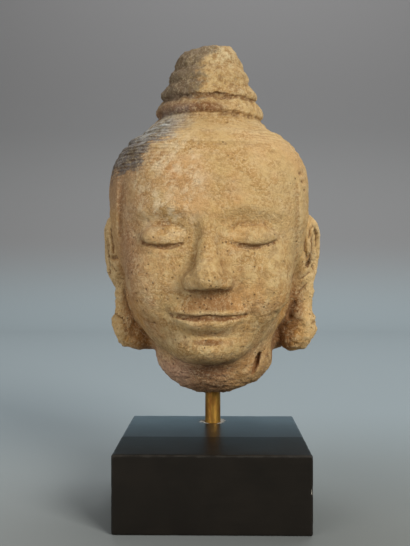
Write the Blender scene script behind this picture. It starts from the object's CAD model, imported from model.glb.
"""A carved sandstone head with a ringed topknot, on a brass rod in a black block, over its CAD parts."""

import math

import bmesh
import bpy
import numpy as np
from mathutils import Matrix, Vector, noise


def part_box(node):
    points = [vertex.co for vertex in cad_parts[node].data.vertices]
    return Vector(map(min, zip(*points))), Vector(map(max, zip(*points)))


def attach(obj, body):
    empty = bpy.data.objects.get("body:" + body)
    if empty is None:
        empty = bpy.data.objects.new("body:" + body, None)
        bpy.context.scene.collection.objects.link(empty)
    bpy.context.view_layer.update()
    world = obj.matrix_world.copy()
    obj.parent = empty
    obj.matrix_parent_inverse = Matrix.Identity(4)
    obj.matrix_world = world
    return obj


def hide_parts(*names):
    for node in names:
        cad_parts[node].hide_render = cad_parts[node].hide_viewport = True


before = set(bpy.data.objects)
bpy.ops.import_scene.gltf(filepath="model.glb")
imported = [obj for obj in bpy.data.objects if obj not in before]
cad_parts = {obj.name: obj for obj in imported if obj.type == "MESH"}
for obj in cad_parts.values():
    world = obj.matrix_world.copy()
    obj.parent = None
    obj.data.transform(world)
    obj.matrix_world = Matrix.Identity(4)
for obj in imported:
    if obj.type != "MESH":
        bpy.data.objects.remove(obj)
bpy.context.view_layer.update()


# The camera stands level before the head, 3 mm to the right of the rod and turned just under a degree left.
# The photograph is 410 by 546 pixels, and its horizon is a little above its middle.
IMAGE_HEIGHT = 546
FOCAL_LENGTH_PX = 740
HORIZON_ABOVE_MIDDLE_PX = 2.4
SENSOR = 36
CAMERA_PLACE = (0.0033, -0.5394, 0.1704)
CAMERA_TURN = math.radians(0.93)
camera_data = bpy.data.cameras.new("camera")
camera_data.sensor_fit = "VERTICAL"
camera_data.sensor_height = SENSOR
camera_data.lens = SENSOR * FOCAL_LENGTH_PX / IMAGE_HEIGHT
camera_data.shift_y = -HORIZON_ABOVE_MIDDLE_PX / IMAGE_HEIGHT
camera = bpy.data.objects.new("camera", camera_data)
camera.location = CAMERA_PLACE
camera.rotation_euler = (math.radians(90), 0, CAMERA_TURN)
bpy.context.scene.collection.objects.link(camera)
bpy.context.scene.camera = camera
bpy.context.scene.view_settings.view_transform = "Standard"


# The backdrop is one pale sheet swept up behind the object, cooler where it lies and plain grey above, and no
# part of the object. A large soft light stands at the viewer's upper right, with a weak fill at the left and
# one more above the backdrop.
class Socket:
    """An output in a material's nodes. Arithmetic on it adds Math nodes."""

    def __init__(self, tree, output=None):
        self.tree = tree
        self.output = output

    def node(self, kind, settings=None, inputs=None, output=0):
        """Any node: its settings are set first, then the values or links of its sockets."""
        made = self.tree.nodes.new(kind)
        for name, value in (settings or {}).items():
            setattr(made, name, value)
        for name, value in (inputs or {}).items():
            if isinstance(value, Socket):
                self.tree.links.new(value.output, made.inputs[name])
            else:
                made.inputs[name].default_value = value
        return Socket(self.tree, made.outputs[output])

    def math(self, operation, *values):
        return self.node("ShaderNodeMath", {"operation": operation}, dict(enumerate(values or (self,))))

    def __add__(self, other):
        return self.math("ADD", self, other)

    def __radd__(self, other):
        return self.math("ADD", other, self)

    def __sub__(self, other):
        return self.math("SUBTRACT", self, other)

    def __rsub__(self, other):
        return self.math("SUBTRACT", other, self)

    def __mul__(self, other):
        return self.math("MULTIPLY", self, other)

    def __rmul__(self, other):
        return self.math("MULTIPLY", other, self)

    def __pow__(self, other):
        return self.math("POWER", self, other)

    def squared(self):
        return self * self

    def highest(self, other):
        return self.math("MAXIMUM", self, other)

    def within(self, low, high):
        """0 at low, 1 at high and smooth between them."""
        inputs = {"Value": self, "From Min": low, "From Max": high}
        return self.node("ShaderNodeMapRange", {"interpolation_type": "SMOOTHSTEP"}, inputs)

    def between(self, first, second):
        """The first colour where this is 0, the second where it is 1."""
        colours = [c if isinstance(c, Socket) else (*c, 1) for c in (first, second)]
        inputs = {0: self, 6: colours[0], 7: colours[1]}
        return self.node("ShaderNodeMix", {"data_type": "RGBA"}, inputs, 2)

    def place(self):
        """The point on the piece, in metres."""
        return self.node("ShaderNodeTexCoord", output=3)

    def parts(self):
        made = self.node("ShaderNodeSeparateXYZ", inputs={0: self})
        outputs = made.output.node.outputs
        return [Socket(self.tree, outputs[i]) for i in range(3)]

    def clouds(self, size, detail=2.0, roughness=0.5):
        """Soft noise about the size given, in millimetres, with 0.5 in its middle."""
        inputs = {"Vector": self, "Scale": 1000 / size, "Detail": detail, "Roughness": roughness}
        return self.node("ShaderNodeTexNoise", inputs=inputs)

    def stretched(self, x, y, z):
        return self.node("ShaderNodeVectorMath", {"operation": "MULTIPLY"}, {0: self, 1: (x, y, z)})

    def painted(self, name):
        """What the mesh keeps at each point under this name."""
        return self.node("ShaderNodeAttribute", {"attribute_name": name}, output=2)

    def bump(self, strength, distance):
        """The slopes that this height gives a surface."""
        inputs = {"Strength": strength, "Distance": distance, "Height": self}
        return self.node("ShaderNodeBump", inputs=inputs)


def linear(red, green, blue):
    """A colour from the 0 to 255 that a screen shows it at."""
    shares = [value / 255 for value in (red, green, blue)]
    return tuple(s / 12.92 if s <= 0.04045 else ((s + 0.055) / 1.055) ** 2.4 for s in shares)


def new_material(name):
    """A material, its shader's inputs, and a socket to start its nodes from."""
    material = bpy.data.materials.new(name)
    material.use_nodes = True
    shader = material.node_tree.nodes["Principled BSDF"]
    return material, shader, Socket(material.node_tree)


def feed(shader, **values):
    for name, value in values.items():
        socket = shader.inputs[name.replace("_", " ")]
        if isinstance(value, Socket):
            value.tree.links.new(value.output, socket)
        else:
            socket.default_value = value


def mesh_object(name, points, faces, material):
    """An object in the scene from points in metres and faces."""
    mesh = bpy.data.meshes.new(name)
    mesh.from_pydata(np.asarray(points).tolist(), [], [list(face) for face in faces])
    mesh.update()
    mesh.polygons.foreach_set("use_smooth", [True] * len(mesh.polygons))
    mesh.materials.append(material)
    made = bpy.data.objects.new(name, mesh)
    bpy.context.scene.collection.objects.link(made)
    return made


SWEEP_FRONT = -1.2
SWEEP_BACK = 1.5
SWEEP_RADIUS = 0.7
SWEEP_HEIGHT = 3.0
SWEEP_HALF_WIDTH = 3.0
SWEEP_STEPS = 24
turns = [math.radians(90 * i / SWEEP_STEPS) for i in range(SWEEP_STEPS + 1)]
sweep_line = [(SWEEP_FRONT, 0.0)]
sweep_line += [
    (SWEEP_BACK + SWEEP_RADIUS * math.sin(t), SWEEP_RADIUS * (1 - math.cos(t))) for t in turns
]
sweep_line.append((SWEEP_BACK + SWEEP_RADIUS, SWEEP_HEIGHT))
sweep_points = [(side * SWEEP_HALF_WIDTH, y, z) for y, z in sweep_line for side in (-1, 1)]
sweep_faces = [(2 * i, 2 * i + 1, 2 * i + 3, 2 * i + 2) for i in range(len(sweep_line) - 1)]
paper, shader, start = new_material("backdrop_paper")
x, y, z = start.place().parts()
near = x.within(-0.1, 0.12).between(linear(136, 140, 138), linear(120, 123, 119))
lying = y.within(-0.15, 0.4).between(near, linear(154, 166, 170))
wall = z.within(0.4, 0.9).between(linear(139, 139, 139), linear(130, 129, 129))
feed(shader, Base_Color=z.within(0.0, 0.3).between(lying, wall), Roughness=0.9)
backdrop = mesh_object("backdrop", sweep_points, sweep_faces, paper)


def soft_light(name, place, size, power, colour, aim=(0, 0, 0.2)):
    data = bpy.data.lights.new(name, "AREA")
    data.size = size
    data.energy = power
    data.color = colour
    light = bpy.data.objects.new(name, data)
    light.location = place
    light.rotation_euler = (Vector(aim) - Vector(place)).to_track_quat("-Z", "Y").to_euler()
    bpy.context.scene.collection.objects.link(light)


soft_light("key", (1.25, -1.65, 1.1), 0.9, 44, (1, 0.985, 0.955))
soft_light("fill", (-1.0, -1.1, 0.3), 1.0, 10, (1, 0.985, 0.98))
soft_light("backdrop_light", (0.2, 1.0, 2.4), 1.4, 34, (0.97, 0.98, 1), aim=(0, 1.6, 0))

# Two cards stand behind the object, seen only in reflections and mostly in the polish of the block's top: a
# pale blue one, as from a window, and a dark one above it. They aren't part of the object either.
CARDS_BEHIND = 0.12
CARD_HALF_WIDTH = 0.4
WINDOW_FOOT = 0.056
WINDOW_TOP = 0.0816
DARK_TOP = 0.14
for name, colour, foot, top in (
    ("window_card", (0.48, 0.72, 0.86), WINDOW_FOOT, WINDOW_TOP),
    ("dark_card", (0.06, 0.05, 0.04), WINDOW_TOP, DARK_TOP),
):
    card_paper, shader, start = new_material(name)
    feed(shader, Base_Color=(0, 0, 0, 1), Roughness=1.0, Emission_Color=(*colour, 1), Emission_Strength=1.0)
    outline = ((-1, foot), (1, foot), (1, top), (-1, top))
    corners = [(side * CARD_HALF_WIDTH, CARDS_BEHIND, height) for side, height in outline]
    card = mesh_object(name, corners, [(0, 1, 2, 3)], card_paper)
    card.visible_camera = card.visible_diffuse = card.visible_shadow = False

# The room round about is an even grey.
world = bpy.data.worlds.new("room")
bpy.context.scene.world = world
world.use_nodes = True
world.node_tree.nodes["Background"].inputs["Color"].default_value = (0.5, 0.5, 0.5, 1)
world.node_tree.nodes["Background"].inputs["Strength"].default_value = 0.35


# The mount block is a square of solid wood, sawn, its edges eased by hand, and painted satin black, with
# varnish behind one level line on its top. The rod's hole is drilled from above, pale filler is left round
# it, and the paint is rubbed thin along the edges.
BLOCK_EDGE = 0.0016
BLOCK_CELL = 0.0026
EDGE_REACH = 0.004
EDGE_PLACES = [0, 0.0004, 0.0008, 0.0012, 0.0017, 0.0024]
HOLE_RADIUS = 0.00635
HOLE_SIDES = 48
END_GAP = 0.001
low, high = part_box("mount_block")
rod_low, rod_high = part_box("brass_rod")
rod_axis = ((rod_low + rod_high) / 2).to_2d()


def lattice(first, last, cell):
    """Places along one side, closer together at its ends."""
    cells = round((last - first - 2 * EDGE_REACH) / cell)
    inner = np.linspace(first + EDGE_REACH, last - EDGE_REACH, cells + 1)
    return np.concatenate([[first + e for e in EDGE_PLACES], inner, [last - e for e in EDGE_PLACES[::-1]]])


def box_surface(sides):
    """The points and faces of a box whose sides are divided at the places given."""
    numbers, points, faces = {}, [], []

    def number(i, j, k):
        if (i, j, k) not in numbers:
            numbers[i, j, k] = len(points)
            points.append((sides[0][i], sides[1][j], sides[2][k]))
        return numbers[i, j, k]

    for axis in range(3):
        one, two = (axis + 1) % 3, (axis + 2) % 3
        for end in (0, len(sides[axis]) - 1):
            for a in range(len(sides[one]) - 1):
                for b in range(len(sides[two]) - 1):
                    corners = []
                    for da, db in ((0, 0), (1, 0), (1, 1), (0, 1)):
                        at = [0, 0, 0]
                        at[axis], at[one], at[two] = end, a + da, b + db
                        corners.append(number(*at))
                    faces.append(corners if end else corners[::-1])
    return np.array(points), faces


points, faces = box_surface([lattice(low[i], high[i], BLOCK_CELL) for i in range(3)])
middle = np.array((low + high) / 2)
half = np.array((high - low) / 2)
offset = points - middle
core = np.clip(offset, -(half - BLOCK_EDGE), half - BLOCK_EDGE)
away = offset - core
normal = away / np.linalg.norm(away, axis=1, keepdims=True)
points = middle + core + BLOCK_EDGE * normal
from_side = np.sort(half - np.abs(offset), axis=1)
near_edge = np.clip(1 - from_side[:, 1] / EDGE_REACH, 0, 1)

# Dents along the edges, the faint waves of a hand-sanded face, and a chip on the front right edge.
CHIP_PLACE = np.array([high.x, low.y, 0.0285])
CHIP_RADIUS = 0.0026
CHIP_DEPTH = 0.0011
dents = np.array([noise.noise(Vector(p) * 160) + 0.6 * noise.noise(Vector(p) * 420) for p in points])
waves = np.array([noise.noise(Vector(p) * 30) for p in points])
depth = near_edge * (0.00006 + 0.00034 * np.clip(dents, 0, 1)) + 0.00005 * (waves + 1) * (1 - near_edge)
chip = np.clip(1 - np.linalg.norm((points - CHIP_PLACE) / [1, 1, 0.9], axis=1) / CHIP_RADIUS, 0, 1)
depth += CHIP_DEPTH * chip**0.7
points = points - normal * depth[:, None]
points[:, 2] = np.maximum(points[:, 2], low.z)

VARNISH_LINE = -0.012
paint, shader, start = new_material("black_paint")
place = start.place()
x, y, z = place.parts()
on_top = z.within(high.z - 0.002, high.z - 0.0008)
streaks = place.stretched(0.25, 1, 1).clouds(7, 4, 0.6)
patches = place.clouds(30, 3)
rubbed = (start.painted("edge") + 1.2 * place.clouds(6, 4, 0.7) - 0.6).within(0.62, 1.0)
chipped = start.painted("chip").within(0.25, 0.5)
scuffs = place.stretched(0.12, 1, 1).clouds(2.2, 2, 0.6).within(0.62, 0.72)
scuffs = scuffs * z.within(high.z - 0.002, high.z)
from_rod = ((x - rod_axis.x).squared() + (y - rod_axis.y - 0.003).squared()) ** 0.5
from_rod = from_rod + 0.016 * (place.clouds(6, 3, 0.65) - 0.5)
filler = (1 - from_rod.within(0.0092, 0.0112)) * on_top
dusty = ((x - rod_axis.x).squared() + 0.16 * (y - rod_axis.y + 0.016).squared()) ** 0.5
dusty = (1 - dusty.within(0.006, 0.015)) * on_top
colour = patches.within(0.3, 0.75).between(linear(25, 22, 18), linear(30, 26, 21))
colour = (streaks.within(0.45, 0.8) * 0.35).between(colour, linear(34, 30, 25))
colour = (scuffs * 0.14).between(colour, linear(92, 90, 86))
colour = (rubbed * (0.03 + 0.13 * z.within(0.048, 0.051))).between(colour, linear(96, 92, 84))
colour = (dusty * 0.08).between(colour, linear(96, 104, 106))
colour = chipped.between(colour, linear(190, 184, 170))
colour = (filler * 0.9).between(colour, linear(206, 204, 196))
varnish = y.within(VARNISH_LINE - 0.0005, VARNISH_LINE + 0.0005)
varnish = varnish * z.within(high.z - 0.001, high.z - 0.0004) * (1 - filler)
grain = place.stretched(0.1, 1, 1).clouds(1.6, 3, 0.6) + 0.4 * place.clouds(0.7, 2)
feed(
    shader,
    Base_Color=colour,
    Roughness=0.36 + 0.1 * patches + 0.4 * filler + 0.1 * rubbed,
    Specular_IOR_Level=0.13,
    Coat_Weight=varnish * (0.42 - 0.1 * dusty),
    Coat_Roughness=0.36,
    Normal=grain.bump(0.08, 0.0002),
)
block = mesh_object("black_block", points, faces, paint)


def keep_at_points(piece, **kept):
    """Keeps values from 0 to 1 at a piece's points, for its material to read."""
    for name, values in kept.items():
        attribute = piece.data.attributes.new(name, "FLOAT", "POINT")
        attribute.data.foreach_set("value", np.clip(values, 0, 1).astype(np.float32))


def drill(piece, bottom, top):
    """Takes the rod's hole out of a piece, between two heights."""
    hole = bmesh.new()
    bmesh.ops.create_cone(
        hole,
        cap_ends=True,
        segments=HOLE_SIDES,
        radius1=HOLE_RADIUS,
        radius2=HOLE_RADIUS,
        depth=top - bottom,
        matrix=Matrix.Translation((rod_axis.x, rod_axis.y, (top + bottom) / 2)),
    )
    bit_mesh = bpy.data.meshes.new("bit")
    hole.to_mesh(bit_mesh)
    hole.free()
    bit = bpy.data.objects.new("bit", bit_mesh)
    bpy.context.scene.collection.objects.link(bit)
    boolean = piece.modifiers.new("hole", "BOOLEAN")
    boolean.operation = "DIFFERENCE"
    boolean.solver = "EXACT"
    boolean.object = bit
    bpy.context.view_layer.objects.active = piece
    bpy.ops.object.modifier_apply(modifier="hole")
    bpy.data.objects.remove(bit)


keep_at_points(block, edge=near_edge, chip=chip)
drill(block, rod_low.z - END_GAP, high.z + 0.01)
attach(block, "root")
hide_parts("mount_block")


# The rod is a drawn brass bar, cut square with its ends just broken, and glued in both holes.
# It is a little tarnished, darkest at its edges and where it meets the stone.
ROD_SIDES = 64
ROD_ROWS = 60
ROD_CHAMFER = 0.0005
ROD_WEAR = 0.00003
rod_radius = (rod_high.x - rod_low.x) / 2
rod_heights = np.linspace(rod_low.z + ROD_CHAMFER, rod_high.z - ROD_CHAMFER, ROD_ROWS)
rod_rings = [(rod_low.z, rod_radius - ROD_CHAMFER)]
rod_rings += [(h, rod_radius) for h in rod_heights]
rod_rings += [(rod_high.z, rod_radius - ROD_CHAMFER)]


def turned_bar(rings, axis, sides, wear):
    """The points and faces of a bar turned about an upright axis, with a little wear on its radius."""
    points = [(axis.x, axis.y, rings[0][0])]
    for h, radius in rings:
        for i in range(sides):
            turn = 2 * math.pi * i / sides
            way = Vector((math.sin(turn), -math.cos(turn), 0))
            worn = radius - wear * (0.5 + 0.5 * noise.noise(Vector((way.x * 2, way.y * 2, h * 90))))
            points.append((axis.x + way.x * worn, axis.y + way.y * worn, h))
    points.append((axis.x, axis.y, rings[-1][0]))
    faces = []
    for i in range(sides):
        after = (i + 1) % sides
        faces.append((0, 1 + after, 1 + i))
        for row in range(len(rings) - 1):
            a, b = 1 + row * sides, 1 + (row + 1) * sides
            faces.append((a + i, a + after, b + after, b + i))
        last = 1 + (len(rings) - 1) * sides
        faces.append((last + i, last + after, len(points) - 1))
    return points, faces


metal, shader, start = new_material("brass")
place = start.place()
x, y, z = place.parts()
drawn = place.stretched(1, 1, 0.06).clouds(1.4, 4, 0.6)
tarnish = place.stretched(1, 1, 0.4).clouds(6, 4, 0.6).within(0.38, 0.7)
near_stone = z.within(0.066, 0.08)
colour = tarnish.between(linear(186, 142, 64), linear(144, 96, 44))
colour = (drawn.within(0.5, 0.75) * 0.35).between(colour, linear(112, 70, 34))
colour = (near_stone * 0.45).between(colour, linear(96, 58, 32))
feed(
    shader,
    Base_Color=colour,
    Metallic=0.92,
    Roughness=0.4 + 0.15 * tarnish + 0.1 * drawn,
    Normal=drawn.bump(0.15, 0.0002),
)
points, faces = turned_bar(rod_rings, rod_axis, ROD_SIDES, ROD_WEAR)
rod = mesh_object("rod", points, faces, metal)
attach(rod, "root")
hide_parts("brass_rod")


# The head is carved from one piece of sandstone, down to the rough break of the neck: the face, the cap of
# hair, the ringed topknot, and the long ears with a web of stone behind each lobe. Sizes are in millimetres
# from the neck's foot, as in the CAD, and the forms are the same ones with fine carving and wear added.
HEAD_HEIGHT = 264
SKULL_HALF_WIDTH = 73.3
SKULL_HALF_DEPTH = 76
FACE_THIRD = 50
CHIN_HEIGHT = 34
NOSE_BASE = CHIN_HEIGHT + FACE_THIRD
BROW = NOSE_BASE + FACE_THIRD
EYE = BROW - 13.5
MOUTH = NOSE_BASE - FACE_THIRD / 3 - 0.5


def join(a, b, reach):
    """Two forms with a fillet of about that reach between them."""
    share = np.clip(0.5 + 0.5 * (b - a) / reach, 0, 1)
    return b + (a - b) * share - reach * share * (1 - share)


def carve(a, b, reach):
    """Form a without form b, the edge rounded over about that reach."""
    return -join(-a, b, reach)


def smooth(value, first, last):
    share = np.clip((value - first) / (last - first), 0, 1)
    return share * share * (3 - 2 * share)


def mound(*offsets):
    return np.exp(-sum(offset * offset for offset in offsets))


def ellipsoid(x, y, z, centre, radii, squareness=2):
    sizes = [np.abs(value - middle) / radius for value, middle, radius in zip((x, y, z), centre, radii)]
    if squareness == 2:
        size = np.sqrt(sum(s * s for s in sizes) + 1e-9)
        slope = np.sqrt(sum((s / radius) ** 2 for s, radius in zip(sizes, radii)))
        return (size - 1) * size / (slope + 1e-6)
    size = (sum(s**squareness for s in sizes) + 1e-9) ** (1 / squareness)
    slope = np.sqrt(sum((s ** (squareness - 1) / radius) ** 2 for s, radius in zip(sizes, radii)))
    return (size - 1) / (size ** (1 - squareness) * slope + 1e-6)


def bar(x, y, z, start, end, radii):
    """A round bar between two points, with a radius at each."""
    run = np.subtract(end, start)
    share = ((x - start[0]) * run[0] + (y - start[1]) * run[1] + (z - start[2]) * run[2]) / (run @ run)
    share = np.clip(share, 0, 1)
    gaps = [value - start[i] - share * run[i] for i, value in enumerate((x, y, z))]
    return np.sqrt(sum(gap * gap for gap in gaps)) - (radii[0] + (radii[1] - radii[0]) * share)


def bare_face(x, y, z):
    """The skull, the oval of the face, cheeks, muzzle, chin and jaw."""
    side = np.abs(x)
    half_height = np.where(z > 150, 54, 88)
    form = ellipsoid(
        x, y, (z - 150) / half_height * 60, (0, -3, 0), (SKULL_HALF_WIDTH, SKULL_HALF_DEPTH, 60), 2.45
    )
    form = join(form, ellipsoid(x, y, z, (0, -14, 97), (59, 67, 64), 2.15), 12)
    form = join(form, ellipsoid(side, y, z, (32, -52, 88), (24, 21, 27)), 16)
    form = join(form, ellipsoid(x, y, z, (0, -58, 70), (27, 25, 22)), 12)
    form = join(form, ellipsoid(x, y, z, (0, -61, CHIN_HEIGHT + 12.5), (19, 20, 13)), 12)
    return join(form, bar(side, y, z, (42, 0, 66), (12, -46, 50), (17, 17)), 20)


def neck(x, y, z):
    stump = ellipsoid(x, y, np.minimum(z - 30, 0), (3.8, 1, 0), (45.4, 46, 30.8), 2.15)
    stump = join(stump, ellipsoid(x, y, z, (-35, 8, 42), (12.5, 22, 14)), 4)
    stump = join(stump, ellipsoid(x, y, z, (37, 8, 42), (13, 22, 17)), 4)
    stump = carve(stump, 9.05 + 0.62 * x + 0.78 * z, 4)
    stump = carve(stump, 5.6 - 0.373 * x + 0.928 * z, 4)
    return carve(stump, 120 - z, 10)


def nose(x, y, z):
    """The ridge, the tip and the wings of the nose, cut level below."""
    side = np.abs(x)
    form = bar(x, y, z, (0, -75.5, BROW), (0, -89, NOSE_BASE + 14), (6.5, 8.5))
    form = join(form, ellipsoid(x, y, z, (0, -90.5, NOSE_BASE + 10), (9.5, 9.5, 9)), 5)
    form = join(form, ellipsoid(side, y, z, (9.4, -83.5, NOSE_BASE + 7), (7.6, 9, 7)), 5)
    return carve(form, z - NOSE_BASE + 0.1 * (y + 84), 3)


def sockets(x, z):
    """How far the brows stand out and the hollows of the eyes go in."""
    side = np.abs(x)
    arch = BROW + 3 + 4 * mound((side - 26) / 16)
    return 2 * mound((side - 26) / 22, (z - arch) / 5) - 5.5 * mound((side - 29) / 19, (z - EYE - 3) / 10.5)


def lids(x, z):
    """The line where the lowered lids meet, the upper lid's lip over it, and its fold below the brow."""
    side = np.abs(x)
    line = EYE - 6.2 + 0.0125 * (side - 30) ** 2
    along = smooth(side, 12, 18) * (1 - smooth(side, 44, 50))
    lip = 0.9 * smooth(z, line - 0.3, line + 1.2) * (1 - smooth(z, line + 3, line + 11))
    under = 0.8 * mound((z - line + 4.3) / 2)
    fold = EYE + 8.7 - 0.017 * (side - 29) ** 2
    return along * (lip + under - 1.8 * mound((z - line) / 1.3) - 0.9 * mound((z - fold) / 1.5))


def lips(x, z):
    """The closed lips, the line between them, their corners, the groove above and the hollow below."""
    side = np.abs(x)
    line = MOUTH + 0.9 * np.cos(x / 5.2) * mound(x / 11) + 0.0012 * x * x
    taper = np.sqrt(np.clip(1 - (x / 27.5) ** 2, 0, 1))
    lower_taper = np.sqrt(np.clip(1 - (x / 24) ** 2, 0, 1))
    above = z - line
    form = 3.6 * taper * mound((above - 3.9 * taper) / (1.2 + 3.4 * taper))
    form = form + 4.2 * lower_taper * mound((above + 5 * lower_taper) / (1.2 + 4.2 * lower_taper))
    form = form - 2.8 * (1 - smooth(side, 24.5, 28.5)) * mound(above / 1.3)
    form = form - 1.2 * mound((side - 28.5) / 3.6, (z - MOUTH - 2.5) / 3.6)
    form = form - 1.0 * mound(x / 2.4, (z - 79.5) / 4) + 0.5 * mound((side - 4) / 1.8, (z - 79) / 4.2)
    return form - 2.6 * mound(x / 17, (z - MOUTH + 15) / 4.2)


ROWS_APART = 4.2
LEDGES_APART = 7.5


def hair(x, y, z):
    """The cap of hair, a step above the forehead and temples, combed in fine rows round the topknot."""
    side = np.abs(x)
    edge = (x / 63) ** 4 + (np.maximum(z - 118, 0) / 66) ** 4
    in_front = np.where(y < 0, smooth(edge, 0.94, 1.12), 1)
    step = 1.3 * in_front * smooth(z, 95, 110)
    edge_line = np.where(x > 0, 0.45, 0.8) * mound((side - 65.5) / 2.2) - 0.35 * mound((side - 61) / 2)
    step = step + edge_line * smooth(z, 112, 132) * (y < 0) * (1 - smooth(z, 162, 174))
    rows = np.cos((z + 0.03 * x - 186) * 2 * np.pi / ROWS_APART)
    rows = rows * smooth(z, 160, 182) * (1 - smooth(z, 202, 207))
    ledges = np.cos((z - 0.04 * x - 192) * 2 * np.pi / LEDGES_APART)
    ledges = ledges * smooth(z, 178, 190) * (1 - smooth(z, 200, 206))
    return step + 0.3 * rows + (0.2 + 0.9 * smooth(-x, 15, 40) * (y < 30)) * ledges


def tool_cut(x, y, z):
    """The slanting cut on the right of the neck."""
    return ellipsoid(x - 0.28 * (z - 26), y - 0.25 * (z - 26), z, (34.3, -32, 26), (2.5, 5.5, 9.4))


EAR_FLARE = {1: math.radians(27), -1: math.radians(17)}
EAR_ROOT = {1: 71, -1: 72}
LOBE_OUT = {1: 3.8, -1: -3.7}
LOBE_LEAN = {1: 0.2, -1: 0.3}


def ear(x, y, z, side):
    """One ear: its plate with a rim, hollow, fold and two pits, and the strap, knob and web of its lobe."""
    out = side * x - EAR_ROOT[side]
    back = y + 10
    cos, sin = math.cos(EAR_FLARE[side]), math.sin(EAR_FLARE[side])
    along, up = out * sin + back * cos, out * cos - back * sin
    plate = ellipsoid(along, up, z, (17, -4.5, 108), (18.5, 9.5, 26.5), 2.3)
    plate = carve(plate, ellipsoid(along, up, z, (16.5, 5, 106), (11.5, 7.5, 20), 2.2), 2)
    fold = bar(along, up, z, (13, -0.5, 123), (16, 0.5, 103), (2.4, 3.0))
    plate = join(plate, join(fold, bar(along, up, z, (16, 0.5, 103), (9, 0.5, 95), (3.0, 2.2)), 2), 2)
    plate = carve(plate, ellipsoid(along, up, z, (8.5, 0, 101), (3.4, 6, 5)), 1.5)
    plate = carve(plate, ellipsoid(along, up, z, (21, 0, 94), (3, 4.5, 4.5)), 1.5)
    x = side * x
    moved = x - LOBE_OUT[side] + LOBE_LEAN[side] * np.maximum(48 - z, 0)
    lobe = join(
        bar(moved, y, z, (70.5, 6, 90), (67.5, 4, 58), (7.5, 9)),
        ellipsoid(moved, y, z, (65.5, 2, 47.5), (14.6, 11, 17.5)),
        5,
    )
    lobe = join(lobe, ellipsoid(x, y, z, (53, 12, 68), (18, 12, 38)), 6)
    lobe = join(lobe, bar(x, y, z, (64, 0, 98), (64.5, 2, 72), (7, 6)), 5)
    lobe = join(lobe, ellipsoid(x, y, z, (46, 10, 40), (11, 12, 10)), 4)
    return join(lobe, plate, 4)


# The mound of hair under the topknot, its three rings and its bun: the height and radius of each one's foot,
# the radius of its top, and how round it is.
RINGS = [
    (189, 54, 37.6, 1.15),
    (208.4, 40.6, 33.6, 2.6),
    (221.3, 36.6, 28.6, 2.6),
    (234.5, 31.4, 25, 2.6),
    (245, 27, 0, 2.8),
]
RING_EDGE = 2.6
# The joints between them: how high each is, and how much deeper it is cut.
JOINTS = ((208.6, 1.1), (221.5, 1.4), (234.7, 0.5), (245.2, 0.5))
# The front of the topknot is rubbed down towards one plain outline: its heights and radii.
PLAIN_HEIGHTS = [221, 228, 240, 252, 259, 262, HEAD_HEIGHT]
PLAIN_RADII = [36, 34.5, 29.8, 23.6, 19, 13, 8]
ring_heights = np.arange(RINGS[0][0], HEAD_HEIGHT + 4, 0.25)
ring_radii = np.full_like(ring_heights, RINGS[0][1])
for i, (foot, wide, narrow, roundness) in enumerate(RINGS):
    ceiling = RINGS[i + 1][0] if i + 1 < len(RINGS) else HEAD_HEIGHT
    share = np.clip((ring_heights - foot) / (ceiling - foot), 0, 1)
    swell = 1 - share**roundness
    if narrow == 0:
        swell = (1 - 0.33 * share) * (1 - share**9) ** (1 / 2.2)
    under = RING_EDGE * (1 - np.sqrt(1 - np.clip(1 - (ring_heights - foot) / RING_EDGE, 0, 1) ** 2))
    ring_radii = np.where(ring_heights >= foot, narrow + (wide - narrow) * swell - under, ring_radii)
spread = np.exp(-(np.arange(-8, 9) * 0.25 / 0.8) ** 2)
ring_radii = np.convolve(np.pad(ring_radii, 8, "edge"), spread / spread.sum(), "valid")


def topknot(x, y, z):
    """The rings and the bun, worn in front, with the slanting chip off the bun's top."""
    height = z + 0.018 * x + 0.5 * np.sin(x / 9 + 1) * np.sin(y / 11)
    radius = np.interp(height, ring_heights, ring_radii)
    rubbed = mound((x - 6) / 27) * smooth(-y, 0, 14) * smooth(z, 223, 229)
    radius = radius + (np.interp(z, PLAIN_HEIGHTS, PLAIN_RADII) - radius) * 0.8 * rubbed
    for joint, deep in JOINTS:
        radius = radius - deep * mound((height - joint) / 1.6) * (1 - 0.7 * rubbed)
    form = (np.hypot(x, y) - radius) * 0.85
    form = carve(form, HEAD_HEIGHT - z, 1.5)
    form = carve(form, z - 186, 1.5)
    chip = -0.22 * (x + 12) - 0.1 * y + 0.97 * (z - 260.3)
    return carve(form, -chip, 3)


def stone(x, y, z):
    """The whole head: below 0 inside the stone, and about the distance from its surface outside."""
    front = smooth(-y, 10, 35)
    form = join(join(bare_face(x, y, z), neck(x, y, z), 7), nose(x, y, z), 6)
    form = form - sockets(x, z) * front
    form = join(form, ellipsoid(np.abs(x), y, z, (30, -61.5, EYE), (17.5, 15.5, 11.5)), 3)
    form = form - (lids(x, z) + lips(x, z)) * front
    form = carve(form, ellipsoid(np.abs(x), y, z, (6.2, -89, NOSE_BASE), (3.4, 4.6, 2.4)), 1.5)
    for side in (1, -1):
        form = join(form, ear(x, y, z, side), 3.5)
    form = join(form - hair(x, y, z), topknot(x, y, z), 2.5)
    return carve(form, tool_cut(x, y, z), 0.8)


# The grid that the surface is found on, with a margin below and above the head.
GRID_FRONT = -104
GRID_BACK = 82
GRID_TOP = 270
GRID_MIDDLE = 110
GRID_HALF_WIDTH = 92
GRID_MARGIN = 6
LAYERS_AT_ONCE = 8
WIDENING = 0.0036
step = 1.04


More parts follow.
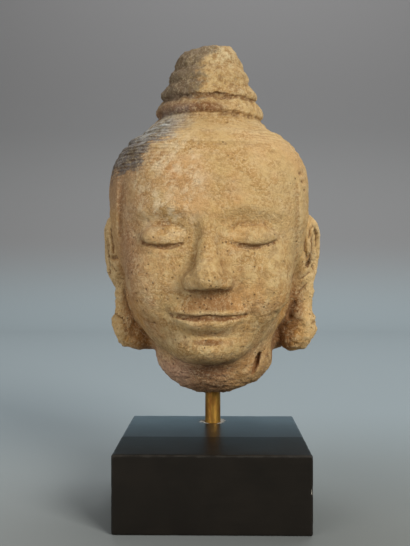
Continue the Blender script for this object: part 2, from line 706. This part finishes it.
def stone_surface(form):
    """The quads where a form is zero, on a grid that widens towards the back, where less is carved."""
    layers = math.ceil(math.log(1 + WIDENING * (GRID_BACK - GRID_FRONT)) / (WIDENING * step)) + 1

    def places(a, b, c):
        wide = np.exp(WIDENING * step * b)
        across = (a * step - GRID_HALF_WIDTH) * wide
        deep = GRID_FRONT + (wide - 1) / WIDENING
        return across, deep + 0 * a, GRID_MIDDLE + (c * step - GRID_MIDDLE - GRID_MARGIN) * wide

    columns = math.ceil(2 * GRID_HALF_WIDTH / step) + 1
    rows = math.ceil((GRID_TOP + 2 * GRID_MARGIN) / step) + 1
    values = np.empty((layers, columns, rows), np.float32)
    for first in range(0, layers, LAYERS_AT_ONCE):
        last = min(first + LAYERS_AT_ONCE, layers)
        b, a, c = np.meshgrid(np.arange(first, last), np.arange(columns), np.arange(rows), indexing="ij")
        x, y, z = places(*(v.astype(np.float32) for v in (a, b, c)))
        values[first:last] = form(x, y, z)
    inside = values < 0
    strides = np.array([columns * rows, rows, 1])
    total = layers * columns * rows
    sums = np.zeros((3, total))
    crossings = np.zeros(total)
    quads = []
    for axis in range(3):
        near = tuple(slice(0, -1) if k == axis else slice(None) for k in range(3))
        far = tuple(slice(1, None) if k == axis else slice(None) for k in range(3))
        cuts = np.argwhere(inside[near] != inside[far])
        others = [k for k in range(3) if k != axis]
        cuts = cuts[np.all(cuts[:, others] > 0, axis=1)]
        beyond = cuts.copy()
        beyond[:, axis] += 1
        here, there = values[tuple(cuts.T)], values[tuple(beyond.T)]
        at = cuts.astype(float)
        at[:, axis] += here / (here - there)
        flat = cuts @ strides
        one, two = strides[others[0]], strides[others[1]]
        cells = np.stack([flat, flat - one, flat - one - two, flat - two], axis=1)
        for corner in cells.T:
            crossings += np.bincount(corner, minlength=total)
            for k in range(3):
                sums[k] += np.bincount(corner, weights=at[:, k], minlength=total)
        turned = inside[tuple(cuts.T)] ^ (axis != 1)
        quads.append(np.where(turned[:, None], cells, cells[:, ::-1]))
    used = np.flatnonzero(crossings)
    index = np.full(total, -1)
    index[used] = np.arange(len(used))
    b, a, c = sums[:, used] / crossings[used]
    return np.stack(places(a, b, c), axis=1), index[np.concatenate(quads)]


def surface_normals(points, quads):
    """The way out of the surface at each point, from the faces round it."""
    across = points[quads[:, 2]] - points[quads[:, 0]]
    down = points[quads[:, 3]] - points[quads[:, 1]]
    face_normals = np.cross(across, down)
    normals = np.zeros_like(points)
    for corner in quads.T:
        for k in range(3):
            normals[:, k] += np.bincount(corner, weights=face_normals[:, k], minlength=len(points))
    return normals / (np.linalg.norm(normals, axis=1, keepdims=True) + 1e-12)


def smoothed(points, quads, rounds):
    """The points after so many rounds of moving each to the middle of its neighbours."""
    ends = np.concatenate([quads[:, [i, (i + 1) % 4]] for i in range(4)])
    ends = np.concatenate([ends, ends[:, ::-1]])
    number = np.bincount(ends[:, 0], minlength=len(points))[:, None]
    for _ in range(rounds):
        moved = [
            np.bincount(ends[:, 0], weights=points[ends[:, 1], k], minlength=len(points)) for k in range(3)
        ]
        points = 0.5 * points + 0.5 * np.stack(moved, axis=1) / number
    return points


def grain_of(points, size, octaves=3):
    """Noise about the size given, between about -1 and 1."""
    return np.array([noise.fractal(Vector(p) / size, 1.0, 2.0, octaves) for p in points])


def pits_of(points, size, share, largest):
    """Small round pits, 0 outside them and 1 in their middle, in a share of the cells of the size given."""
    depths = np.zeros(len(points))
    for i, p in enumerate(points):
        distances, places = noise.voronoi(Vector(p) / size)
        chance = noise.cell(places[0] * 7.31)
        chance = chance - math.floor(chance)
        if chance < share:
            radius = largest * (0.45 + 0.55 * chance / share)
            depths[i] = max(0.0, 1 - distances[0] * size / radius)
    return depths


points, quads = stone_surface(stone)
normals = surface_normals(points, quads)
x, y, z = points.T


def openness(points, normals, reach):
    """1 where the way out along the normal is clear, less where other stone is near."""
    clear = stone(*(points + normals * reach).T) / reach
    return np.clip(clear, 0, 1)


shut_near = 1 - openness(points, normals, 5)
shut_far = 1 - 0.5 * openness(points, normals, 16) - 0.5 * openness(points, normals, 34)

on_topknot = smooth(z, 186, 210)
points += (smoothed(points, quads, 1) - points) * on_topknot[:, None]

# Wear: the whole is a little uneven, the topknot, ears and lobes more, and the neck is a rough break.
on_ears = smooth(np.abs(x), 62, 68) * (1 - smooth(z, 136, 142))
on_break = 1 - smooth(z + 0.1 * y, 12, 26)
uneven = grain_of(points, 24, 2)
knobs = grain_of(points, 9, 3)
grain = grain_of(points, 3.2, 3)
pits = pits_of(points, 7, 0.34, 1.9)
relief = 0.5 * uneven + 0.28 * knobs + 0.3 * grain
worn_rings = grain_of(points * [1, 1, 1.6], 6, 2)
relief += on_topknot * (0.85 * knobs + 0.5 * uneven + 0.75 * worn_rings + 0.2 * grain)
relief += on_ears * (0.6 * knobs + 0.2 * grain)
relief += on_break * (0.9 * knobs + 0.4 * grain)
on_lobes = smooth(np.abs(x), 50, 58) * (1 - smooth(z, 70, 84))
relief += on_lobes * (1.0 * knobs + 0.3 * grain)
relief -= 0.8 * pits

# The larger old damage to the front: where it is across and up, its radius and its depth.
CHIPS = [
    (47, 67, 2.2, 1.3),
    (42.5, 65.5, 1.6, 1.0),
    (-38, 60, 1.8, 1.1),
    (-16, 47, 1.8, 0.9),
    (-13, 46, 1.2, 0.8),
    (65.5, 165, 2.2, 1.8),
    (67, 159, 1.8, 1.4),
    (68.5, 153, 1.5, 1.0),
    (82, 60, 3.0, 1.6),
    (10, 30, 3.5, 1.0),
    (-6, 29, 3.0, 0.9),
]
chipped = np.zeros(len(points))
for across, up, radius, deep in CHIPS:
    mark = mound((x - across) / radius, (z - up) / radius) * (y < 15)
    relief -= deep * mark
    chipped = np.maximum(chipped, 0.6 * mark)
points = points + normals * relief[:, None]

# Worn folds and cracks of the ears and lobes, each a line across and up with its radius and depth. One less
# than nothing deep stands out. They are cut from the front.
FOLDS = [
    ([(76.1, 118.6), (76.9, 124), (79.6, 127.5), (82.4, 125.6), (83.5, 120.9), (83.5, 112.3)], 1.0, 2.2),
    ([(72.2, 119.3), (72.6, 108.4), (74.6, 103.8)], 1.1, 2.4),
    ([(77.7, 121.7), (78.1, 110), (76.5, 104.5)], 0.9, 1.8),
    ([(75, 121), (75.2, 108)], 1.6, -1.2),
    ([(75, 102.6), (75.4, 98.5)], 1.6, 2.2),
    ([(71.5, 87.4), (77.7, 91.3)], 1.0, 1.4),
    ([(69.9, 77.3), (75.4, 82.7)], 1.0, 1.4),
    ([(66.8, 59.4), (67.2, 59.8)], 4.2, -2.4),
    ([(62.1, 57), (62.1, 64), (66, 67.2)], 1.4, 2.6),
    ([(77.7, 52.4), (83.9, 53.2)], 0.9, 1.8),
    ([(-73.6, 103.2), (-70.8, 103.4)], 2.2, 4.5),
    ([(-74.7, 124.8), (-73.8, 116.2), (-72.6, 106.9)], 1.0, 2.4),
    ([(-77.7, 117.8), (-76.9, 104.5)], 0.9, 1.4),
    ([(-75, 97.5), (-71.1, 92.9)], 1.1, 1.6),
    ([(-66, 78), (-63, 66), (-57, 54)], 1.3, 1.8),
    ([(-72, 59), (-66, 55), (-64, 47)], 1.2, 1.6),
]
folded = np.zeros(len(points))
for line, radius, deep in FOLDS:
    nearest = np.full(len(points), 99.0)
    for (x0, z0), (x1, z1) in zip(line, line[1:]):
        run = (x1 - x0) ** 2 + (z1 - z0) ** 2
        share = np.clip(((x - x0) * (x1 - x0) + (z - z0) * (z1 - z0)) / run, 0, 1)
        nearest = np.minimum(nearest, np.hypot(x - x0 - share * (x1 - x0), z - z0 - share * (z1 - z0)))
    mark = mound(nearest / radius) * (normals[:, 1] < 0.3) * (y < 26)
    points[:, 1] += deep * mark
    folded = np.maximum(folded, mark * (deep > 0))

# Hollows gather dirt and raised places are rubbed pale: how far each point lies below those round it.
below_near = np.sum((smoothed(points, quads, 4) - points) * normals, axis=1)

# The head is bowed about its foot and set beside the rod's axis, and stays inside its solid's box.
HEAD_FOOT = Vector((-0.0027, 0.041, 0.078))
BOW = math.radians(4)
points = points / 1000
bow = np.array(Matrix.Rotation(BOW, 3, "X"))
points = points @ bow.T + np.array(HEAD_FOOT)
low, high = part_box("stone_head")
points = np.clip(points, np.array(low) + 0.0001, np.array(high) - 0.0001)

# In the material places are in millimetres too, but heights are from the table: the neck's foot is at 78, the
# topknot's lowest joint at 284 in front, and the top of the bun at 341.
sandstone, shader, start = new_material("sandstone")
place = start.place()
x, y, z = [part * 1000 for part in place.parts()]
from_middle = x.math("ABSOLUTE")
in_front = 1 - y.within(-20, 0)
rough_near = start.painted("hollow")
groove = start.painted("groove")
recess = start.painted("recess")
broad = place.clouds(45, 3, 0.55)
blotches = place.clouds(16, 4, 0.6)
mottle = place.clouds(6, 4, 0.65)
speckle = place.clouds(2.3, 3, 0.75)
fine = place.clouds(1.1, 2, 0.6)
beds = place.stretched(0.4, 0.4, 1).clouds(9, 3, 0.6)

# The stone itself: buff, ochre and cream, in beds, with a warmer patch on the forehead.
colour = blotches.within(0.35, 0.68).between(linear(202, 168, 112), linear(188, 148, 90))
colour = (beds.within(0.45, 0.72) * 0.5).between(colour, linear(208, 181, 138))
warm = broad.within(0.5, 0.68) * (1 - z.within(248, 275))
colour = (warm * 0.45).between(colour, linear(200, 142, 86))
patch = 1 - ((x + 16).squared() + 0.5 * (z - 228).squared() + 500 * (blotches - 0.5)).within(60, 420)
colour = (patch * 0.34 * in_front).between(colour, linear(206, 148, 102))
colour = (mottle.within(0.5, 0.72) * 0.4).between(colour, linear(168, 128, 84))
colour = ((1 - mottle).within(0.55, 0.75) * 0.4).between(colour, linear(218, 196, 156))

# Orange iron stains below the hair, and brown and cream ones, weaker on the forehead and the cap of hair.
orange = place.clouds(24, 3, 0.6).within(0.5, 0.62) * (1 - z.within(200, 230))
colour = (orange * 0.22).between(colour, linear(198, 140, 76))
stains = place.clouds(5.5, 3, 0.6)
off_forehead = 1 - z.within(196, 214) * (1 - z.within(268, 284))
colour = (stains.within(0.48, 0.64) * (0.12 + 0.33 * off_forehead)).between(colour, linear(146, 112, 70))
colour = ((1 - stains).within(0.5, 0.66) * 0.3 * off_forehead).between(colour, linear(222, 200, 150))

# The shaded left side is greyer, with a film of dirt, and the right side above the eyes is paler.
film = (-1 * x + 22 * (blotches - 0.5)).within(25, 72) * 0.6
colour = film.between(colour, linear(160, 120, 96))
pale_side = x.within(5, 55) * z.within(165, 200) * (1 - z.within(272, 284))
colour = (pale_side * 0.22).between(colour, linear(224, 196, 142))

# Ochre on the ears and lobes, a warm brown where they meet the jaw, and pale outer edges.
ochre = (from_middle + 14 * (mottle - 0.5)).within(60, 72) * (1 - z.within(208, 222))
colour = (ochre * 0.5).between(colour, linear(204, 158, 92))
low_down = 1 - (z + 16 * (blotches - 0.5)).within(140, 160)
at_lobes = (from_middle + 10 * (mottle - 0.5)).within(44, 52) * low_down
colour = (at_lobes * (0.35 + 0.5 * blotches.within(0.4, 0.6))).between(colour, linear(196, 142, 72))
jaw_stain = recess.within(0.08, 0.5) * (1 - z.within(150, 180))
colour = (jaw_stain * (0.6 + 0.2 * x.within(-40, 40))).between(colour, linear(128, 82, 42))
outer_edge = (from_middle + 8 * (mottle - 0.5) + 9 * (1 - z.within(160, 185))).within(73, 82)
outer_edge = outer_edge * (1 - z.within(208, 222))
colour = (outer_edge * 0.4).between(colour, linear(236, 208, 152))

# Pale scrapes on the forehead.
slanted = start.node("ShaderNodeMapping", None, {"Vector": place, "Rotation": (0, -0.8, 0)})
scraped = slanted.stretched(1, 1, 0.55).clouds(6.5, 4, 0.65).within(0.44, 0.63)
scraped = scraped * (0.55 + 0.45 * mottle.within(0.4, 0.6))
scraped = scraped * (1 - ((x + 30).squared() + 0.4 * (z - 232).squared()).within(250, 900))
colour = (scraped * in_front * 0.75).between(colour, linear(230, 210, 172))

# Red-brown dirt in the topknot's lowest joint and just above it, and a greyer brown at its left end.
ring_dirt = z.within(283, 285) * (1 - (z + 7 * (mottle - 0.5)).within(288, 295))
ring_dirt = ring_dirt * (1 - (x + 36 * (blotches - 0.5)).within(-4, 16))
colour = (ring_dirt * (0.6 + 0.35 * speckle.within(0.3, 0.55))).between(colour, linear(118, 74, 40))
on_left = 1 - (x + 20 * (blotches - 0.5)).within(-26, -12)
colour = (z.within(283, 288) * on_left * (0.45 + 0.5 * speckle)).between(colour, linear(128, 98, 72))

# Brown stains round the next two joints, and the bun rubbed pale in front, right of its middle.
in_joints = (1 - (z - 305).squared().within(8, 70)) * stains.within(0.44, 0.6) * (1 - y.within(0, 30))
colour = (in_joints * 0.5).between(colour, linear(140, 98, 48))
rubbed_top = x.within(-4, 4) * z.within(316, 326) * (1 - y.within(0, 20)) * (1 - stains.within(0.4, 0.6))
colour = (rubbed_top * 0.55).between(colour, linear(232, 216, 172))

# Dirt in the grooves, less in the lowest joint, and in every hollow. Raised places are rubbed pale.
at_foot = 1 - (z - 284).squared().within(8, 30)
in_groove = groove.within(0.2, 0.75) * (0.45 + 0.5 * mottle) * (1 - 0.6 * at_foot)
colour = in_groove.between(colour, linear(118, 76, 42))
colour = (rough_near.within(0.62, 0.95) * 0.55).between(colour, linear(104, 72, 44))
raised = (1 - rough_near).within(0.6, 0.85) * 0.3 * (1 - 0.9 * ring_dirt)
colour = raised.between(colour, linear(226, 202, 156))

# The broken neck is a purplish brown, browner to the right, dark in its middle and under the chin, and has
# level streaks.
levels = place.stretched(0.25, 0.25, 1).clouds(2.6, 3, 0.65)
off_middle = (x + 4).math("ABSOLUTE")
broken = 1 - (z + 14 * (blotches - 0.5)).within(96, 116)
broken = broken * (1 - 0.35 * (x + 16 * (blotches - 0.5)).within(8, 26))
dark_middle = 1 - (off_middle + 14 * (blotches - 0.5)).within(6, 19)
break_colour = x.within(-20, 24).between(linear(206, 162, 138), linear(178, 130, 78))
break_colour = (dark_middle * 0.75).between(break_colour, linear(132, 86, 56))
colour = (broken * 0.7).between(colour, break_colour)
under_chin = (1 - (z + 8 * (mottle - 0.5)).within(116, 126)) * recess.within(0.12, 0.4)
under_chin = under_chin * (1 - off_middle.within(18, 38))
colour = (under_chin * 0.75).between(colour, linear(92, 58, 34))
streaked = (1 - z.within(104, 116)) * levels.within(0.48, 0.66)
colour = (streaked * 0.5).between(colour, linear(104, 74, 58))

# Grey-black lichen on the left of the topknot and of the skull's crown, with a brown stain below its edge. On
# the crown it lies in streaks, paler towards the right, with a ragged edge that rises to the right and back.
streaky = place.stretched(0.3, 0.3, 1).clouds(3.2, 4, 0.7)
crust = place.clouds(3, 4, 0.75)
ragged = 60 * (place.clouds(11, 3, 0.6) - 0.5) + 22 * (crust - 0.5)
crown_edge = z - 238 - 17 * (x + 0.5 * ragged).within(-54, -42) - 0.42 * (x + 48).highest(0.0)
crown_edge = crown_edge + 0.3 * ragged + 26 * (streaky - 0.5) - 0.35 * y.highest(0.0)
crown_edge = crown_edge + y.within(-8, 22) * 90 * (place.clouds(30, 3, 0.6) - 0.5)
crown = crown_edge.within(-3, 4) * (1 - 0.55 * (x + 30 * (streaky - 0.5)).within(-36, -20))
crown = crown * (1 - (x + 0.5 * ragged + 30 * (streaky - 0.5)).within(-22, -6))
crown = crown * (1 - (z - 0.3 * x).within(284, 302)) * (1 - (y + ragged).within(60, 85))
top_edge = x + 10 - 11 * z.within(322, 333)
top = (1 - (top_edge + 0.6 * ragged).within(-3, 5)) * (z + 14 * (mottle - 0.5)).within(290, 299)
lichen = crown.highest(top * (0.5 + 0.5 * crust.within(0.3, 0.55)))
below_edge = crown_edge.within(-14, 0) * (1 - x.within(-60, -20))
below_edge = below_edge * (1 - y.within(10, 30)) * (1 - z.within(250, 275))
colour = (below_edge * 0.3).between(colour, linear(130, 100, 76))
combing = streaky.within(0.36, 0.64)
dark_growth = combing.between(linear(34, 30, 28), linear(108, 110, 114))
pale_growth = combing.between(linear(106, 104, 96), linear(184, 194, 198))
on_crown = (x + 2 * (z - 262) + 0.6 * ragged).within(-75, -10).between(dark_growth, pale_growth)
on_crown = ((1 - crown_edge.within(2, 12)) * 0.5).between(on_crown, linear(80, 60, 42))
lichen_colour = crust.within(0.35, 0.65).between(linear(50, 44, 38), linear(134, 116, 96))
lichen_colour = (1 - z.within(284, 296)).between(lichen_colour, on_crown)
colour = (lichen * 0.9).between(colour, lichen_colour)

# Fine combed lines run round the crown, and upright ones down the hair at the temples.
LINES_APART = 2.4
STRANDS_APART = 3.4
wavering = 5 * (blotches - 0.5) + 1.2 * (mottle - 0.5)
combed = (2 * math.pi / LINES_APART * (z + 0.02 * x + wavering)).math("SINE")
round_crown = (z - 0.25 * x).within(240, 258) * (1 - z.within(280, 286))
round_crown = round_crown * (0.3 + 0.7 * from_middle.within(8, 40))
strands = (2 * math.pi / STRANDS_APART * (y + 0.06 * z + wavering)).math("SINE")
down_temples = from_middle.within(63, 67) * z.within(178, 190)
down_temples = down_temples * (1 - z.within(236, 250)) * (1 - y.within(20, 50))
lines = (combed * round_crown + 0.6 * strands * down_temples) * (0.25 + 0.75 * broad.within(0.4, 0.6))
colour = (lines.within(0.0, 1.0) * 0.16).between(colour, linear(118, 86, 56))
colour = ((-1 * lines).within(0.0, 1.0) * 0.16).between(colour, linear(228, 208, 170))

# The topknot is duller towards its top.
dulled = z.within(292, 312) * (0.25 + 0.5 * blotches)
colour = (dulled * 0.35).between(colour, linear(128, 108, 78))

# The sand's own grain, with small dark pits where the surface is open.
PITS_APART = 3.6
sand = 0.6 * speckle + 0.4 * fine
patchy = 0.5 + blotches.within(0.35, 0.65)
colour = (sand.within(0.47, 0.62) * 0.22 * patchy).between(colour, linear(114, 80, 48))
colour = ((1 - sand).within(0.47, 0.62) * 0.2 * patchy).between(colour, linear(240, 220, 178))
pit_cells = {"Vector": place, "Scale": 1000 / PITS_APART}
holes = start.node("ShaderNodeTexVoronoi", None, pit_cells)
chosen = start.node("ShaderNodeTexVoronoi", None, pit_cells, 1).parts()[0]
open_parts = (blotches - 0.25 * z.within(150, 230)).within(0.3, 0.5)
holes = (1 - (holes + 0.5 * (fine - 0.5)).within(0.08, 0.2)) * (chosen + 0.5 * open_parts).within(0.95, 1.0)
colour = (holes * 0.6).between(colour, linear(88, 62, 42))
feed(
    shader,
    Base_Color=colour,
    Roughness=0.86 + 0.1 * mottle,
    Specular_IOR_Level=0.25,
    Normal=(sand - 0.5 * holes - 0.09 * lines).bump(1.0, 0.0023),
)
head = mesh_object("carved_head", points, quads, sandstone)
in_grooves = np.maximum(np.maximum(shut_near, 0.6 * folded), chipped)
keep_at_points(head, hollow=0.5 + below_near / 0.9, groove=in_grooves, recess=shut_far)

# The blind hole for the rod, drilled from well below the break.
BELOW_BREAK = 0.06
drill(head, BELOW_BREAK, rod_high.z + END_GAP)
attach(head, "root")
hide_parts("stone_head")
